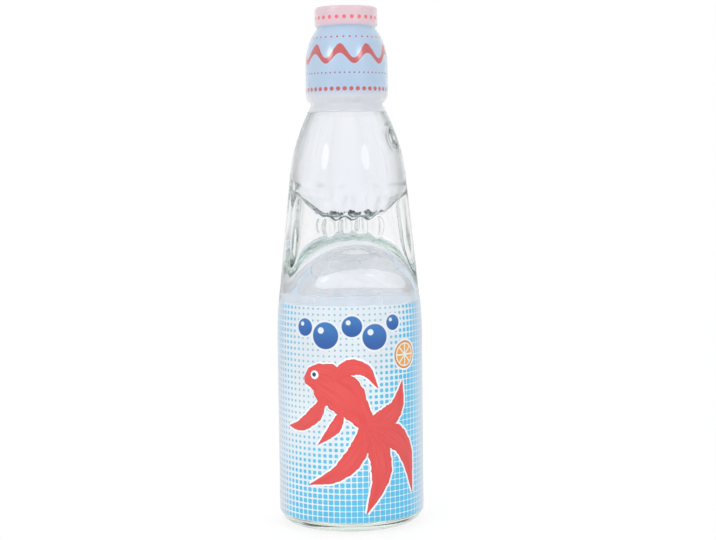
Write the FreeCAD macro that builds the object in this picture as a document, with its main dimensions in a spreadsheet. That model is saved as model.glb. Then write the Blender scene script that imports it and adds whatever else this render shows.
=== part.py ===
import FreeCAD, Part
import math
import os

import Sketcher

# A marble stopper soda bottle: a pinched glass bottle, the marble that gas presses up against a
# rubber gasket, the plastic mouth cap with its tear-off ring and plunger, and two shrink films.
# +Z is up and the bottle stands on Z = 0. The pinches face -Y and +Y, the dimples face +X.
# Lengths are in millimetres. A height is measured up from the table.

SIZES = {
    # glass, outside, from the foot up
    "body_radius": 28.9,
    "heel_radius": 6.0,
    "foot_width": 4.4,
    "push_up": 4.0,
    "body_height": 74.0,
    "shoulder_height": 17.0,
    "cone_height": 47.0,
    "cone_taper": 0.1025,
    "bulb_height": 28.3,
    # glass finish under the cap
    "collar_height": 2.3,
    "collar_step": 1.2,
    "finish_height": 17.2,
    "finish_wall": 3.0,
    "bead_lift": 4.4,
    "bead_height": 2.4,
    "bead_depth": 1.0,
    "mouth_edge": 0.8,
    # glass, inside
    "body_wall": 4.3,
    "base_thickness": 5.5,
    "inner_heel_radius": 9.0,
    "bore_clearance": 1.6,
    # the two pinches below the marble chamber
    "pinch_half_width": 9.0,
    "pinch_wall": 3.6,
    "sole_share": 0.332,
    "sole_spread": 14.8,
    "throat_height": 7.8,
    "crown_spread": 11.9,
    "sole_round": 6.0,
    "crown_round": 9.0,
    "pinch_round": 3.0,
    "ledge_round": 2.0,
    # rounded ribs on the floor of each pinch
    "rib_radius": 3.1,
    "rib_half_height": 4.4,
    "rib_rise": 1.5,
    "rib_pitch": 6.6,
    "rib_count": 4,
    # the two dimples that catch the marble while pouring
    "dimple_drop": 11.7,
    "dimple_radius": 6.2,
    "dimple_depth": 2.3,
    "dimple_angle": 39.5,
    "dimple_wall": 2.6,
    # marble and its gasket
    "marble_radius": 8.4,
    "seat_drop": 4.35,
    "seat_clearance": 0.1,
    "gasket_thickness": 3.4,
    "gasket_inset": 0.6,
    "gasket_lap": 1.9,
    "gasket_clearance": 0.1,
    # mouth cap
    "cap_gap": 0.9,
    "cap_wall": 2.0,
    "cap_clearance": 0.2,
    "skirt_height": 11.5,
    "crown_height": 8.3,
    "crown_inset": 1.1,
    "dome_height": 6.9,
    "spout_height": 1.8,
    "spout_wall": 4.1,
    # tear-off ring and the plunger in it
    "ring_height": 6.7,
    "ring_overhang": 0.75,
    "ring_edge": 0.8,
    "plunger_clearance": 0.3,
    "disc_inset": 1.5,
    "disc_recess": 0.3,
    "disc_thickness": 2.2,
    "disc_edge": 0.5,
    "dish_margin": 3.0,
    "dish_depth": 0.6,
    "stem_clearance": 1.1,
    "bore_relief": 0.9,
    "stem_core_radius": 2.4,
    "stem_rib_thickness": 1.8,
    "stem_rib_count": 4,
    "stem_wrap": 1.0,
    # shrink films
    "film_gap": 0.05,
    "film_thickness": 0.2,
    "rim_lap": 1.4,
    "waist_rise": 0.7,
    "tuck_rise": 0.7,
    "film_drop": 2.8,
    "label_thickness": 0.15,
    "label_lap": 1.5,
    "label_reach": 2.0,
}

PAST = 1.0  # how far a cutting form runs past what it cuts


class Size:
    """A length that keeps its number and the sheet formula that gives it."""

    def __init__(self, value, text):
        self.value = float(value)
        self.text = text

    def __add__(self, other):
        other = as_size(other)
        return Size(self.value + other.value, f"({self.text} + {other.text})")

    def __sub__(self, other):
        other = as_size(other)
        return Size(self.value - other.value, f"({self.text} - {other.text})")

    def __mul__(self, other):
        other = as_size(other)
        return Size(self.value * other.value, f"({self.text} * {other.text})")

    def __truediv__(self, other):
        other = as_size(other)
        return Size(self.value / other.value, f"({self.text} / {other.text})")

    def __neg__(self):
        return Size(-self.value, f"(0 - {self.text})")


def as_size(length):
    return length if isinstance(length, Size) else Size(length, str(length))


def root(size):
    return Size(math.sqrt(size.value), f"sqrt({size.text})")


doc = FreeCAD.newDocument("marble_stopper_bottle")
sheet = doc.addObject("Spreadsheet::Sheet", "Sizes")
for row, (alias, number) in enumerate(SIZES.items(), start=1):
    sheet.set(f"A{row}", alias)
    sheet.set(f"B{row}", str(number))
    sheet.setAlias(f"B{row}", alias)
doc.recompute()


def size(alias):
    return Size(SIZES[alias], f"Sizes.{alias}")


def bind(item, **sizes):
    """Set properties of a document object from sizes; a double underscore stands for a dot."""
    for name, length in sizes.items():
        item.setExpression(name.replace("__", "."), as_size(length).text)


def origin_part(body, role):
    return next(part for part in body.Origin.OriginFeatures if part.Role == role)


def arc_through(start, heading, end):
    """Circle that leaves start along heading and passes through end: centre, radius, turn."""
    left = (-heading[1], heading[0])
    across = (end[0] - start[0], end[1] - start[1])
    reach = (across[0] ** 2 + across[1] ** 2) / (2 * (across[0] * left[0] + across[1] * left[1]))
    centre = (start[0] + left[0] * reach, start[1] + left[1] * reach)
    return centre, abs(reach), 1 if reach > 0 else -1


def draw_section(body, name, corners):
    """Closed half section in the XZ plane, bound to the sheet.

    Each corner is (radius, height, way), where way says how the outline goes on from there:
    "line", "arc" for an arc that leaves along the last edge, or "dome" for an arc whose centre
    is on the axis. The last corner joins the first with a line.
    """
    sketch = body.newObject("Sketcher::SketchObject", name)
    sketch.AttachmentSupport = [(origin_part(body, "XZ_Plane"), "")]
    sketch.MapMode = "FlatFace"
    corners = [(as_size(radius), as_size(height), way) for radius, height, way in corners]
    points = [(radius.value, height.value) for radius, height, way in corners]
    heading = (1.0, 0.0)
    ends = []
    for index, (radius, height, way) in enumerate(corners):
        start, end = points[index], points[(index + 1) % len(points)]
        if way == "line":
            line = Part.LineSegment(FreeCAD.Vector(*start, 0), FreeCAD.Vector(*end, 0))
            sketch.addGeometry(line)
            length = math.dist(start, end)
            heading = ((end[0] - start[0]) / length, (end[1] - start[1]) / length)
            ends.append((1, 2))
        else:
            centre, reach, turn = arc_through(start, heading, end)
            angles = [math.atan2(y - centre[1], x - centre[0]) for x, y in (start, end)]
            circle = Part.Circle(FreeCAD.Vector(*centre, 0), FreeCAD.Vector(0, 0, 1), reach)
            first, last = angles if turn > 0 else reversed(angles)
            sketch.addGeometry(Part.ArcOfCircle(circle, first, last))
            heading = (-turn * math.sin(angles[1]), turn * math.cos(angles[1]))
            ends.append((1, 2) if turn > 0 else (2, 1))
    for index, (radius, height, way) in enumerate(corners):
        before = index - 1 if index else len(corners) - 1
        joint = (before, ends[before][1], index, ends[index][0])
        smooth = way == "arc"
        sketch.addConstraint(Sketcher.Constraint("Tangent" if smooth else "Coincident", *joint))
        if way == "dome":
            sketch.addConstraint(Sketcher.Constraint("PointOnObject", index, 3, -2))
        place = (index, ends[index][0])
        for kind, length, axis in (("DistanceX", radius, -2), ("DistanceY", height, -1)):
            if length.value == 0:
                sketch.addConstraint(Sketcher.Constraint("PointOnObject", *place, axis))
            else:
                rule = Sketcher.Constraint(kind, -1, 1, *place, length.value)
                number = sketch.addConstraint(rule)
                sketch.setExpression(f"Constraints[{number}]", length.text)
    return sketch


def turn_section(body, kind, name, corners):
    """Revolution or Groove of a half section about the bottle's axis."""
    sketch = draw_section(body, name + "_section", corners)
    feature = body.newObject("PartDesign::" + kind, name)
    feature.Profile = sketch
    feature.ReferenceAxis = (sketch, ["V_Axis"])
    feature.Angle = 360
    doc.recompute()
    return feature


def new_body(label):
    body = doc.addObject("PartDesign::Body", label)
    body.Label = label
    return body


def ball(name, radius, height, across=0, angle=0):
    """Sphere at a height on the axis, or out from it by a distance at an angle from +X."""
    sphere = doc.addObject("Part::Sphere", name)
    bind(sphere, Radius=radius, Placement__Base__z=height)
    if across:
        turn = as_size(angle).text
        sphere.setExpression("Placement.Base.x", f"{across.text} * cos({turn} * 1 deg)")
        sphere.setExpression("Placement.Base.y", f"{across.text} * sin({turn} * 1 deg)")
    return sphere


def drum(name, radius, bottom, height):
    cylinder = doc.addObject("Part::Cylinder", name)
    bind(cylinder, Radius=radius, Height=height, Placement__Base__z=bottom)
    return cylinder


def join(kind, name, base, tool):
    result = doc.addObject("Part::" + kind, name)
    result.Base = base
    result.Tool = tool
    doc.recompute()
    return result


def round_edges(name, base, radius_of):
    """Fillet on the edges of an object for which radius_of(faces beside it) gives a radius."""
    fillet = doc.addObject("Part::Fillet", name)
    fillet.Base = base
    rounded = []
    for number, edge in enumerate(base.Shape.Edges, start=1):
        radius = radius_of(base.Shape.ancestorsOfType(edge, Part.Face))
        if radius:
            rounded.append((number, radius.value, radius.value))
    fillet.Edges = rounded
    doc.recompute()
    return fillet


# Heights of the glass, from the foot up, and its radii: the body's from the foot, the neck's from
# the marble that has to pass it. The shoulder arc runs smoothly into the cone, so the cone's taper
# says how far it comes in.

body_radius, heel_radius = size("body_radius"), size("heel_radius")
body_top = size("body_height")
cone_bottom = body_top + size("shoulder_height")
cone_top = cone_bottom + size("cone_height")
cone_taper = size("cone_taper")
cone_slant = root(cone_taper * cone_taper + 1)
cone_bottom_radius = body_radius - size("shoulder_height") * (cone_slant - 1) / cone_taper
cone_top_radius = cone_bottom_radius - size("cone_height") * cone_taper
neck_base = cone_top + size("bulb_height")
collar_top = neck_base + size("collar_height")
bead_bottom = collar_top + size("bead_lift")
bead_top = bead_bottom + size("bead_height")
mouth, mouth_edge = collar_top + size("finish_height"), size("mouth_edge")

marble_radius = size("marble_radius")
bore_radius = marble_radius + size("bore_clearance")
finish_radius = bore_radius + size("finish_wall")
bead_radius = finish_radius + size("bead_depth")
neck_radius = finish_radius + size("collar_step")

# Glass bottle: the smooth outline that the front view shows, turned about the axis.

outline = new_body("glass_outline")
turn_section(outline, "Revolution", "outline", [
    (0, size("push_up"), "dome"),
    (body_radius - heel_radius - size("foot_width"), 0, "line"),
    (body_radius - heel_radius, 0, "arc"),
    (body_radius, heel_radius, "line"),
    (body_radius, body_top, "arc"),
    (cone_bottom_radius, cone_bottom, "line"),
    (cone_top_radius, cone_top, "arc"),
    (neck_radius, neck_base, "line"),
    (neck_radius, collar_top, "line"),
    (finish_radius, collar_top, "line"),
    (finish_radius, bead_bottom, "line"),
    (bead_radius, bead_bottom, "line"),
    (bead_radius, bead_top, "line"),
    (finish_radius, bead_top + size("bead_depth"), "line"),
    (finish_radius, mouth - mouth_edge, "arc"),
    (finish_radius - mouth_edge, mouth, "line"),
    (0, mouth, "line"),
])

body_wall = size("body_wall")
floor = size("push_up") + size("base_thickness")
inner_heel_radius = size("inner_heel_radius")

hollow = new_body("glass_hollow")
turn_section(hollow, "Revolution", "hollow", [
    (0, floor, "line"),
    (body_radius - body_wall - inner_heel_radius, floor, "arc"),
    (body_radius - body_wall, floor + inner_heel_radius, "line"),
    (body_radius - body_wall, body_top, "arc"),
    (cone_bottom_radius - body_wall, cone_bottom, "line"),
    (cone_top_radius - body_wall, cone_top, "arc"),
    (bore_radius, neck_base, "line"),
    (bore_radius, mouth + PAST, "line"),
    (0, mouth + PAST, "line"),
])

# Two dimples in the chamber's shoulder, bumps on the inside. The shoulder is an arc that leaves the
# cone smoothly; its radius at the dimples' height sets how far out the dimple balls stand.

rise, fall = neck_base - cone_top, cone_top_radius - neck_radius
shoulder_arc = (rise * rise + fall * fall) * cone_slant / ((fall - rise * cone_taper) * 2)
arc_centre_radius = cone_top_radius - shoulder_arc / cone_slant
arc_centre_height = cone_top - shoulder_arc * cone_taper / cone_slant
dimple_height = neck_base - size("dimple_drop")
above = dimple_height - arc_centre_height
shoulder_radius = arc_centre_radius + root(shoulder_arc * shoulder_arc - above * above)
dimple_radius = size("dimple_radius")
dimple_reach = shoulder_radius + dimple_radius - size("dimple_depth")

outside, inside = outline, hollow
for side, angle in (("front", -size("dimple_angle")), ("back", size("dimple_angle"))):
    place = (dimple_height, dimple_reach, angle)
    dimple = ball(f"dimple_{side}", dimple_radius, *place)
    bump = ball(f"bump_{side}", dimple_radius + size("dimple_wall"), *place)
    outside = join("Cut", f"dimpled_{side}", outside, dimple)
    inside = join("Cut", f"bumped_{side}", inside, bump)

# The pinches: a flat-floored dent in front and one behind. Each is bounded above by the round
# sole of the marble chamber and below by the round crown of the drink chamber.

pinch_half_width, pinch_wall = size("pinch_half_width"), size("pinch_wall")
chamber_sole = cone_top - size("cone_height") * size("sole_share")
dome_crown = chamber_sole - size("throat_height")
sole_radius = cone_top_radius + size("sole_spread")
crown_dome_radius = body_radius + size("crown_spread")
sole_centre = chamber_sole + sole_radius
crown_centre = dome_crown - crown_dome_radius


def pinch(form, name, inset, floor_round):
    """Cut both dents into a form, set in by a wall's thickness, and round their edges."""
    upper_radius, lower_radius = sole_radius - inset, crown_dome_radius - inset
    half_width = pinch_half_width - inset
    blocks = []
    for side, face in (("front", -half_width - body_radius), ("back", half_width)):
        block = doc.addObject("Part::Box", f"{name}_{side}")
        bind(block, Length=body_radius * 2, Width=body_radius, Height=sole_centre - crown_centre)
        bind(block, Placement__Base__x=-body_radius, Placement__Base__y=face)
        bind(block, Placement__Base__z=crown_centre)
        blocks.append(block)
    dents = join("Fuse", name + "_blocks", *blocks)
    dents = join("Cut", name + "_below_sole", dents, ball(name + "_sole", upper_radius, sole_centre))
    dents = join("Cut", name + "_dents", dents, ball(name + "_crown", lower_radius, crown_centre))
    dented = join("Cut", name + "_dented", form, dents)

    def face_kind(face):
        surface = face.Surface
        if isinstance(surface, Part.Plane) and abs(surface.Axis.y) > 0.99:
            return "floor"
        on_axis = isinstance(surface, Part.Sphere) and math.hypot(surface.Center.x, surface.Center.y) < 0.001
        if on_axis and face.CenterOfMass.z > crown_centre.value:
            return "sole" if surface.Center.z > chamber_sole.value else "crown"
        return "outline"

    def edge_round(faces):
        kinds = {face_kind(face) for face in faces}
        if "floor" in kinds:
            return floor_round
        if kinds == {"sole", "outline"}:
            return size("sole_round") - inset
        if kinds == {"crown", "outline"}:
            return size("crown_round") - inset
        return None

    return round_edges(name + "_rounded", dented, edge_round)


outside = pinch(outside, "pinch", as_size(0), size("pinch_round"))
chamber = pinch(inside, "slot", pinch_wall, size("ledge_round"))

# Rounded ribs in a row on both pinch floors, halfway between the two chambers.

rib_radius = size("rib_radius")
rib_row = pinch_half_width + size("rib_rise") - rib_radius
rib_start = size("rib_pitch") * (size("rib_count") - 1) / 2

ribs = new_body("pinch_ribs")
for side, row in (("front", -rib_row), ("back", rib_row)):
    rib = ribs.newObject("PartDesign::AdditiveEllipsoid", f"rib_{side}")
    bind(rib, Radius1=size("rib_half_height"), Radius2=rib_radius, Radius3=rib_radius)
    bind(rib, Placement__Base__x=-rib_start, Placement__Base__y=row)
    bind(rib, Placement__Base__z=(chamber_sole + dome_crown) / 2)
    doc.recompute()
    rib_rows = ribs.newObject("PartDesign::LinearPattern", f"rib_row_{side}")
    rib_rows.Originals = [rib]
    rib_rows.Direction = (origin_part(ribs, "X_Axis"), [""])
    bind(rib_rows, Length=rib_start * 2, Occurrences=size("rib_count"))
    ribs.Tip = rib_rows
    doc.recompute()

solid_glass = join("Fuse", "ribbed_glass", outside, ribs)
glass_bottle = join("Cut", "glass_bottle", solid_glass, chamber)

# Marble, held up against the gasket that lies on the glass mouth.

marble_centre = mouth - size("seat_drop")
seat_ball_radius = marble_radius + size("seat_clearance")
gasket_radius = finish_radius - size("gasket_inset")
gasket_hole_radius = marble_radius - size("gasket_lap")
gasket_top = mouth + size("gasket_thickness")

marble = ball("marble", marble_radius, marble_centre)

washer = drum("gasket_disc", gasket_radius, mouth, size("gasket_thickness"))
washer_hole = drum("gasket_hole", gasket_hole_radius, mouth - PAST,
                   size("gasket_thickness") + PAST * 2)
washer = join("Cut", "gasket_washer", washer, washer_hole)
mouth_gasket = join("Cut", "mouth_gasket", washer, ball("gasket_seat", seat_ball_radius, marble_centre))

# Mouth cap: a skirt that snaps under the glass bead, a domed shoulder and a short spout.

cap_clearance = size("cap_clearance")
lip_radius = finish_radius + cap_clearance
skirt_bore_radius = bead_radius + cap_clearance
cap_radius = skirt_bore_radius + size("cap_wall")
crown_radius = cap_radius - size("crown_inset")
pocket_radius = gasket_radius + size("gasket_clearance")
spout_bore_radius = gasket_hole_radius + size("bore_relief")
spout_radius = spout_bore_radius + size("spout_wall")
lip_top = bead_bottom - cap_clearance
cap_bottom = collar_top + size("cap_gap")
cap_shoulder = cap_bottom + size("skirt_height")
cap_crown = cap_shoulder + size("crown_height")
spout_base = cap_crown + size("dome_height")
spout_top = spout_base + size("spout_height")

mouth_cap = new_body("mouth_cap")
turn_section(mouth_cap, "Revolution", "cap", [
    (lip_radius, cap_bottom, "line"),
    (cap_radius, cap_bottom, "line"),
    (cap_radius, cap_shoulder, "arc"),
    (crown_radius, cap_crown, "arc"),
    (spout_radius, spout_base, "line"),
    (spout_radius, spout_top, "line"),
    (spout_bore_radius, spout_top, "line"),
    (spout_bore_radius, gasket_top, "line"),
    (pocket_radius, gasket_top, "line"),
    (pocket_radius, mouth + cap_clearance, "line"),
    (skirt_bore_radius, mouth + cap_clearance, "line"),
    (skirt_bore_radius, lip_top, "line"),
    (lip_radius, lip_top - size("bead_depth"), "line"),
])

# Tear-off ring on the spout, and the plunger that it guides.

ring_radius, ring_edge = spout_radius + size("ring_overhang"), size("ring_edge")
ring_top = spout_top + size("ring_height")
disc_radius, disc_edge = spout_radius - size("disc_inset"), size("disc_edge")
disc_top = ring_top - size("disc_recess")
disc_bottom = disc_top - size("disc_thickness")
dish_radius, dish_depth = disc_radius - size("dish_margin"), size("dish_depth")
ring_bore_radius = disc_radius + size("plunger_clearance")

plunger_ring = new_body("plunger_ring")
turn_section(plunger_ring, "Revolution", "ring", [
    (ring_bore_radius, spout_top, "line"),
    (ring_radius, spout_top, "line"),
    (ring_radius, ring_top - ring_edge, "arc"),
    (ring_radius - ring_edge, ring_top, "line"),
    (ring_bore_radius, ring_top, "line"),
])

stem_core_radius = size("stem_core_radius")
stem_radius = gasket_hole_radius - size("stem_clearance")
stem_bottom = marble_centre + marble_radius - size("stem_wrap")

press = new_body("plunger_blank")
turn_section(press, "Revolution", "disc", [
    (0, stem_bottom, "line"),
    (stem_core_radius, stem_bottom, "line"),
    (stem_core_radius, disc_bottom, "line"),
    (disc_radius, disc_bottom, "line"),
    (disc_radius, disc_top - disc_edge, "arc"),
    (disc_radius - disc_edge, disc_top, "line"),
    (dish_radius + dish_depth, disc_top, "line"),
    (dish_radius, disc_top - dish_depth, "line"),
    (0, disc_top - dish_depth, "line"),
])
fin_sketch = draw_section(press, "stem_rib_section", [
    (0, stem_bottom, "line"),
    (stem_radius, stem_bottom, "line"),
    (stem_radius, disc_bottom, "line"),
    (0, disc_bottom, "line"),
])
fin = press.newObject("PartDesign::Pad", "stem_rib")
fin.Profile = fin_sketch
fin.Midplane = True
bind(fin, Length=size("stem_rib_thickness"))
doc.recompute()
fins = press.newObject("PartDesign::PolarPattern", "stem_ribs")
fins.Originals = [fin]
fins.Axis = (fin_sketch, ["V_Axis"])
fins.Angle = 360
bind(fins, Occurrences=size("stem_rib_count"))
press.Tip = fins
doc.recompute()
cup = ball("plunger_cup", marble_radius + size("plunger_clearance"), marble_centre)
plunger = join("Cut", "plunger", press, cup)

# Shrink films. Each is turned from its outer side and hollowed along its inner side, which lies
# a hair off the pieces that it wraps.

film_gap = size("film_gap")
film_end = neck_base - size("film_drop")
film_above = film_end - arc_centre_height
film_end_radius = arc_centre_radius + root(shoulder_arc * shoulder_arc - film_above * film_above)


def seal_outline(off):
    """The way up along neck, cap and ring, at a distance off their outside."""
    return [
        (film_end_radius + off, film_end, "line"),
        (neck_radius + off, neck_base, "line"),
        (neck_radius + off, neck_base + size("tuck_rise"), "line"),
        (cap_radius + off, cap_bottom - off, "line"),
        (cap_radius + off, cap_shoulder, "arc"),
        (crown_radius + off, cap_crown, "arc"),
        (spout_radius + off, spout_base + off, "line"),
        (spout_radius + off, spout_base + size("waist_rise"), "line"),
        (ring_radius + off, spout_top - off, "line"),
        (ring_radius + off, ring_top - ring_edge, "arc"),
        (ring_radius - ring_edge, ring_top + off, "line"),
    ]


seal_off = film_gap + size("film_thickness")
film_rim_radius = disc_radius - size("rim_lap")

cap_seal = new_body("cap_seal")
turn_section(cap_seal, "Revolution", "seal", [(0, film_end, "line")] + seal_outline(seal_off) + [
    (0, ring_top + seal_off, "line"),
])
turn_section(cap_seal, "Groove", "seal_hollow", [
    (0, film_end - PAST, "line"),
    (film_end_radius + film_gap, film_end - PAST, "line"),
] + seal_outline(film_gap) + [
    (film_rim_radius, ring_top + film_gap, "line"),
    (film_rim_radius, ring_top + seal_off + PAST, "line"),
    (0, ring_top + seal_off + PAST, "line"),
])

label_lap = size("label_lap")
label_bottom = heel_radius - label_lap
label_top = cone_bottom + size("label_reach")
label_top_radius = cone_bottom_radius - cone_taper * size("label_reach")


def label_outline(off):
    """The way up along heel, body and shoulder, at a distance off the glass."""
    heel = heel_radius + off
    return [
        (body_radius - heel_radius + root(heel * heel - label_lap * label_lap), label_bottom, "line"),
        (body_radius + off, heel_radius, "line"),
        (body_radius + off, body_top, "arc"),
        (cone_bottom_radius + off, cone_bottom, "line"),
        (label_top_radius + off, label_top, "line"),
    ]


label_off = film_gap + size("label_thickness")

label_sleeve = new_body("label_sleeve")
turn_section(label_sleeve, "Revolution", "label", [(0, label_bottom, "line")] + label_outline(label_off) + [
    (0, label_top, "line"),
])
turn_section(label_sleeve, "Groove", "label_hollow", [
    (0, label_bottom - PAST, "line"),
    (label_outline(film_gap)[0][0], label_bottom - PAST, "line"),
] + label_outline(film_gap) + [
    (label_top_radius + film_gap, label_top + PAST, "line"),
    (0, label_top + PAST, "line"),
])

# Every object must have built, and every piece must be one sound solid.

doc.recompute()
nodes = [glass_bottle, marble, mouth_gasket, mouth_cap, plunger_ring, plunger, cap_seal, label_sleeve]
for item in doc.Objects:
    if "Invalid" in item.State or "Error" in item.State:
        raise RuntimeError(f"{item.Label} did not build: {item.State}")
for node in nodes:
    if node.Shape.isNull() or not node.Shape.isValid() or len(node.Shape.Solids) != 1:
        raise RuntimeError(f"{node.Label} is not one sound solid")

os.makedirs("parts", exist_ok=True)
for node in nodes:
    node.Shape.exportStep(f"parts/{node.Label}.step")
    print(f"{node.Label}: {node.Shape.Volume / 1000:.2f} ml")
print(f"brimful: {(chamber.Shape.Volume - math.pi * bore_radius.value ** 2 * PAST) / 1000:.1f} ml")
print(f"marble centre at rest: {marble_centre.value:.3f} mm")
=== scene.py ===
import math

import bpy
import numpy as np
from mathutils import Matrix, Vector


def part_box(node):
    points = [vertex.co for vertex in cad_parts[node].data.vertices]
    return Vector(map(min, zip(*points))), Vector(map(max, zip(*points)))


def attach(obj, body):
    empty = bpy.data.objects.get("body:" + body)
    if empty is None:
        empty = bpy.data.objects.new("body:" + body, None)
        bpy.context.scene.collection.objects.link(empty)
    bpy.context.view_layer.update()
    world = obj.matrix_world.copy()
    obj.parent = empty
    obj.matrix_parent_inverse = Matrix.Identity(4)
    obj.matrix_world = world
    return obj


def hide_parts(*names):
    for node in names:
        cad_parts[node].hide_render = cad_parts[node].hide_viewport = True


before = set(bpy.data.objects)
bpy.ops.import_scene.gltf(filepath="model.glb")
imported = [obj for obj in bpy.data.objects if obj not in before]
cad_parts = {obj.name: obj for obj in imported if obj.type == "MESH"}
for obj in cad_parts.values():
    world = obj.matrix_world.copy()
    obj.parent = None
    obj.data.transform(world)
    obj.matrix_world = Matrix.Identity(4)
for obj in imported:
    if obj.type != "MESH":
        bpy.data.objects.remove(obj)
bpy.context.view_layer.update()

mm = 0.001  # sizes and places of the pieces below are in millimetres
print("frame loaded:", sorted(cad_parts))


# meshes

# Faces of a lathe surface: each row of points is a ring that closes on itself, and quads join ring to ring.
# poles says whether the first and last ring are closed by a fan to their middle, and closeRows joins the
# last ring to the first. The print coordinates are the share of the way round, a half in a fan, and each
# ring's value in uv.
def latheGrid(rings, poles=(False, False), uv=None, closeRows=False):
    rows, cols = rings.shape[:2]
    index = np.arange(rows * cols).reshape(rows, cols)
    if closeRows:
        index = np.vstack([index, index[:1]])
    beside = np.roll(index, -1, axis=1)
    quads = np.stack([index[:-1], beside[:-1], beside[1:], index[1:]], axis=-1).reshape(-1, 4)
    points = [rings.reshape(-1, 3)]
    fans = [np.zeros((0, 3), int)]
    middle = rows * cols
    for isPole, ring, turn in ((poles[0], 0, -1), (poles[1], -1, 1)):
        if isPole:
            points.append(rings[ring].mean(axis=0)[None])
            corners = [index[ring], beside[ring], np.full(cols, middle)]
            fans.append(np.stack(corners[::turn], axis=-1))
            middle += 1
    heights = np.zeros(rows) if uv is None else np.asarray(uv, float)
    along = np.broadcast_to((quads % cols)[:, :1], quads.shape) + np.array([0, 1, 1, 0])
    quadCoords = np.stack([along / cols, heights[quads // cols]], axis=-1)
    fans = np.concatenate(fans)
    fanRows = np.minimum(fans // cols, rows - 1)
    fanCoords = np.stack([np.full(fans.shape, 0.5), heights[fanRows]], axis=-1)
    return np.concatenate(points) * mm, quads, fans, quadCoords, fanCoords


# One mesh from one or more grids: their points are numbered on from grid to grid, quads first, then fans.
def putMesh(name, grids):
    mesh = bpy.data.meshes.new(name)
    starts = np.cumsum([0] + [len(grid[0]) for grid in grids])
    points = np.concatenate([grid[0] for grid in grids])
    quads = np.concatenate([grid[1] + first for grid, first in zip(grids, starts)])
    fans = np.concatenate([grid[2] + first for grid, first in zip(grids, starts)])
    coords = [grid[3].reshape(-1, 2) for grid in grids]
    coords += [grid[4].reshape(-1, 2) for grid in grids]
    coords = np.concatenate(coords)
    loops = np.concatenate([quads.ravel(), fans.ravel()])
    totals = np.concatenate([np.full(len(quads), 4), np.full(len(fans), 3)])
    mesh.vertices.add(len(points))
    mesh.vertices.foreach_set("co", points.astype(np.float32).ravel())
    mesh.loops.add(len(loops))
    mesh.loops.foreach_set("vertex_index", loops.astype(np.int32))
    mesh.polygons.add(len(totals))
    mesh.polygons.foreach_set("loop_start", (np.cumsum(totals) - totals).astype(np.int32))
    mesh.polygons.foreach_set("loop_total", totals.astype(np.int32))
    mesh.polygons.foreach_set("use_smooth", np.ones(len(totals), bool))
    mesh.uv_layers.new(name="print").data.foreach_set("uv", coords.astype(np.float32).ravel())
    mesh.update(calc_edges=True)
    mesh.validate()
    piece = bpy.data.objects.new(name, mesh)
    bpy.context.scene.collection.objects.link(piece)
    return piece


# A piece that is one lathe surface.
def latheMesh(name, rings, poles=(False, False), uv=None, closeRows=False):
    return putMesh(name, [latheGrid(rings, poles, uv, closeRows)])


# Rings at heights z with radius r, where r may vary along each ring.
def ringsOf(r, z, cols):
    angle = np.linspace(0, 2 * np.pi, cols, endpoint=False)[None]
    r = np.broadcast_to(np.asarray(r, float).reshape(len(z), -1), (len(z), cols))
    heights = np.broadcast_to(np.asarray(z, float)[:, None], r.shape)
    return np.stack([r * np.cos(angle), r * np.sin(angle), heights], axis=-1)


# Points of the circle that leaves start along heading and ends at end, without the start.
def arcPoints(start, heading, end, count):
    start, heading, end = (np.asarray(item, float) for item in (start, heading, end))
    left = np.array([-heading[1], heading[0]]) / np.hypot(*heading)
    across = end - start
    reach = across @ across / (2 * across @ left)
    centre = start + left * reach
    first, last = (math.atan2(*(item - centre)[::-1]) for item in (start, end))
    turn = (last - first + np.pi) % (2 * np.pi) - np.pi
    angles = first + turn * np.linspace(0, 1, count + 1)[1:]
    return centre + abs(reach) * np.stack([np.cos(angles), np.sin(angles)], axis=-1)


# Points of a straight run, without the start.
def runPoints(start, end, count):
    steps = np.linspace(0, 1, count + 1)[1:, None]
    return np.asarray(start, float) * (1 - steps) + np.asarray(end, float) * steps


# materials

# A node socket that can be used in a formula.
class Field:
    def __init__(self, tree, socket):
        self.tree = tree
        self.socket = socket

    # one math node with this field as its first value
    def calc(self, kind, *others):
        node = self.tree.nodes.new("ShaderNodeMath")
        node.operation = kind
        for place, item in enumerate((self,) + others):
            if isinstance(item, Field):
                self.tree.links.new(item.socket, node.inputs[place])
            else:
                node.inputs[place].default_value = item
        return Field(self.tree, node.outputs[0])

    def __add__(self, other):
        return self.calc("ADD", other)

    def __sub__(self, other):
        return self.calc("SUBTRACT", other)

    def __mul__(self, other):
        return self.calc("MULTIPLY", other)

    def __truediv__(self, other):
        return self.calc("DIVIDE", other)

    def __pow__(self, other):
        return self.calc("POWER", other)

    def __abs__(self):
        return self.calc("ABSOLUTE")

    # a smooth step, from 1 below the edge to 0 above it
    def below(self, edge, soft):
        node = self.tree.nodes.new("ShaderNodeMapRange")
        node.interpolation_type = "SMOOTHSTEP"
        self.tree.links.new((self - edge).socket, node.inputs["Value"])
        node.inputs["From Min"].default_value = soft
        node.inputs["From Max"].default_value = -soft
        return Field(self.tree, node.outputs["Result"])


# A new material with its node tree and its main shader.
def newMaterial(name):
    material = bpy.data.materials.new(name)
    material.use_nodes = True
    tree = material.node_tree
    return material, tree, tree.nodes["Principled BSDF"]


# Constants set straight on a shader's sockets, where an underscore stands for a space.
def setSockets(shader, **values):
    for name, value in values.items():
        shader.inputs[name.replace("_", " ")].default_value = value


# Soft noise from 0 to 1 over coordinates that may be stretched first.
def noiseField(tree, coords, scale, detail=2.0, stretch=(1, 1, 1)):
    mapping = tree.nodes.new("ShaderNodeMapping")
    mapping.inputs["Scale"].default_value = stretch
    tree.links.new(coords, mapping.inputs["Vector"])
    noise = tree.nodes.new("ShaderNodeTexNoise")
    noise.inputs["Scale"].default_value = scale
    noise.inputs["Detail"].default_value = detail
    tree.links.new(mapping.outputs["Vector"], noise.inputs["Vector"])
    return Field(tree, noise.outputs["Fac"])


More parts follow.
